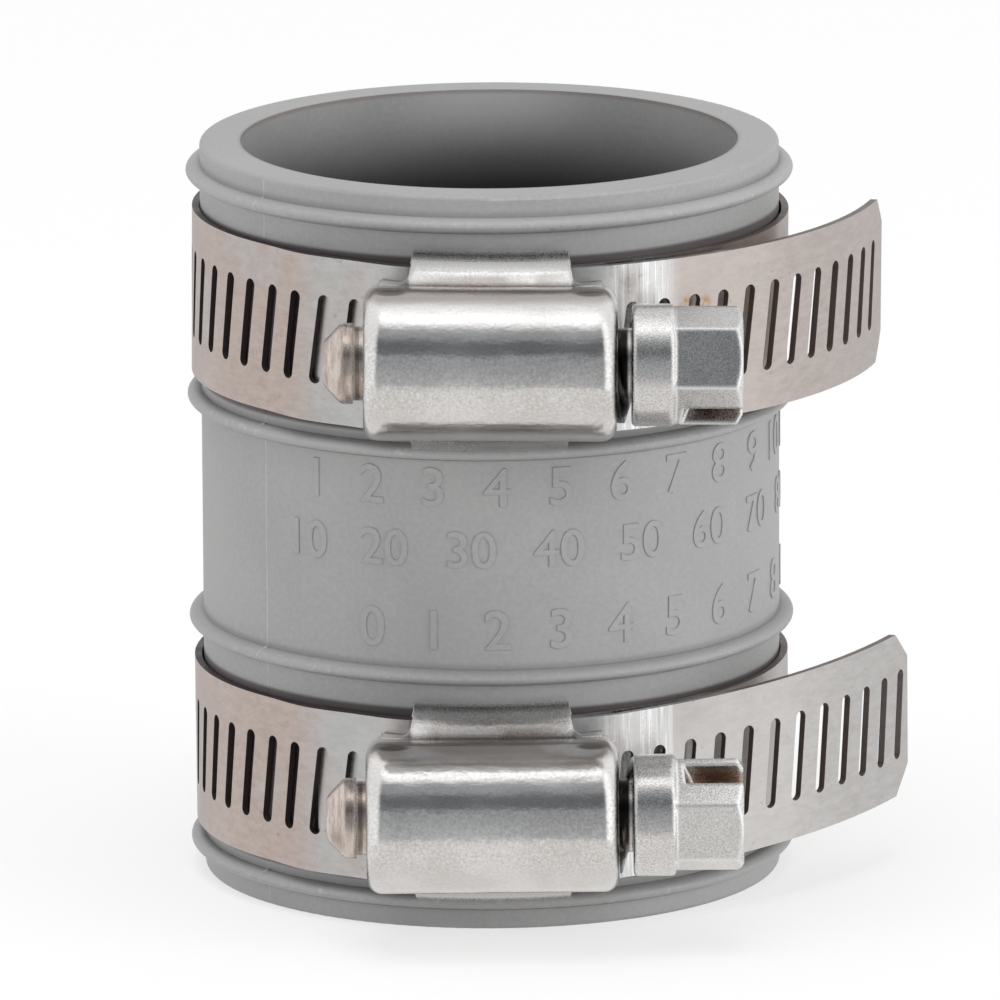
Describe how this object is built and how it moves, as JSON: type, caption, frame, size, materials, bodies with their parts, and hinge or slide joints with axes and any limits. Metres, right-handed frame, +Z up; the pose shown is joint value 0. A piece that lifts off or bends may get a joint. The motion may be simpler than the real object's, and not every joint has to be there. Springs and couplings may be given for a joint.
{
  "type": "drain pipe connector",
  "caption": "Straight soft sleeve that joins two drain pipes, held on each pipe end by a worm-drive band clamp with a slotted hexagon screw.",
  "frame": {"origin": "centre of the lower mouth, on the sleeve's axis at the lower end face", "axes": "+Z up along the bore; screw housings face -Y; band tails and screw heads point to +X"},
  "size_m": [0.0619, 0.0638, 0.0635],
  "materials": {
    "sleeve": "matt mid-grey flexible PVC with a faint mould texture",
    "band": "rolled stainless strip, fine scratches, faint straw tint",
    "housing": "satin pressed stainless sheet",
    "screw": "zinc-bright, slightly pitted steel"
  },
  "bodies": {
    "sleeve": {"sleeve": "sleeve"},
    "upper_clamp": {"upper_band": "band", "upper_housing": "housing"},
    "upper_screw": {"upper_screw": "screw"},
    "lower_clamp": {"lower_band": "band", "lower_housing": "housing"},
    "lower_screw": {"lower_screw": "screw"}
  },
  "joints": [
    {"name": "upper_clamp_turn", "type": "hinge", "parent": "sleeve", "child": "upper_clamp", "pos_m": [0, 0, 0.05055], "axis": [0, 0, 1], "continuous": true},
    {"name": "upper_screw_turn", "type": "hinge", "parent": "upper_clamp", "child": "upper_screw", "pos_m": [0, -0.03135, 0.05055], "axis": [-0.9999, 0, 0.0105], "range_deg": [-4562, 810], "deforming": ["upper_band"]},
    {"name": "lower_clamp_turn", "type": "hinge", "parent": "sleeve", "child": "lower_clamp", "pos_m": [0, 0, 0.0115], "axis": [0, 0, 1], "continuous": true},
    {"name": "lower_screw_turn", "type": "hinge", "parent": "lower_clamp", "child": "lower_screw", "pos_m": [0, -0.03135, 0.0115], "axis": [-1, 0, -0.0052], "range_deg": [-4230, 810], "deforming": ["lower_band"]}
  ]
}
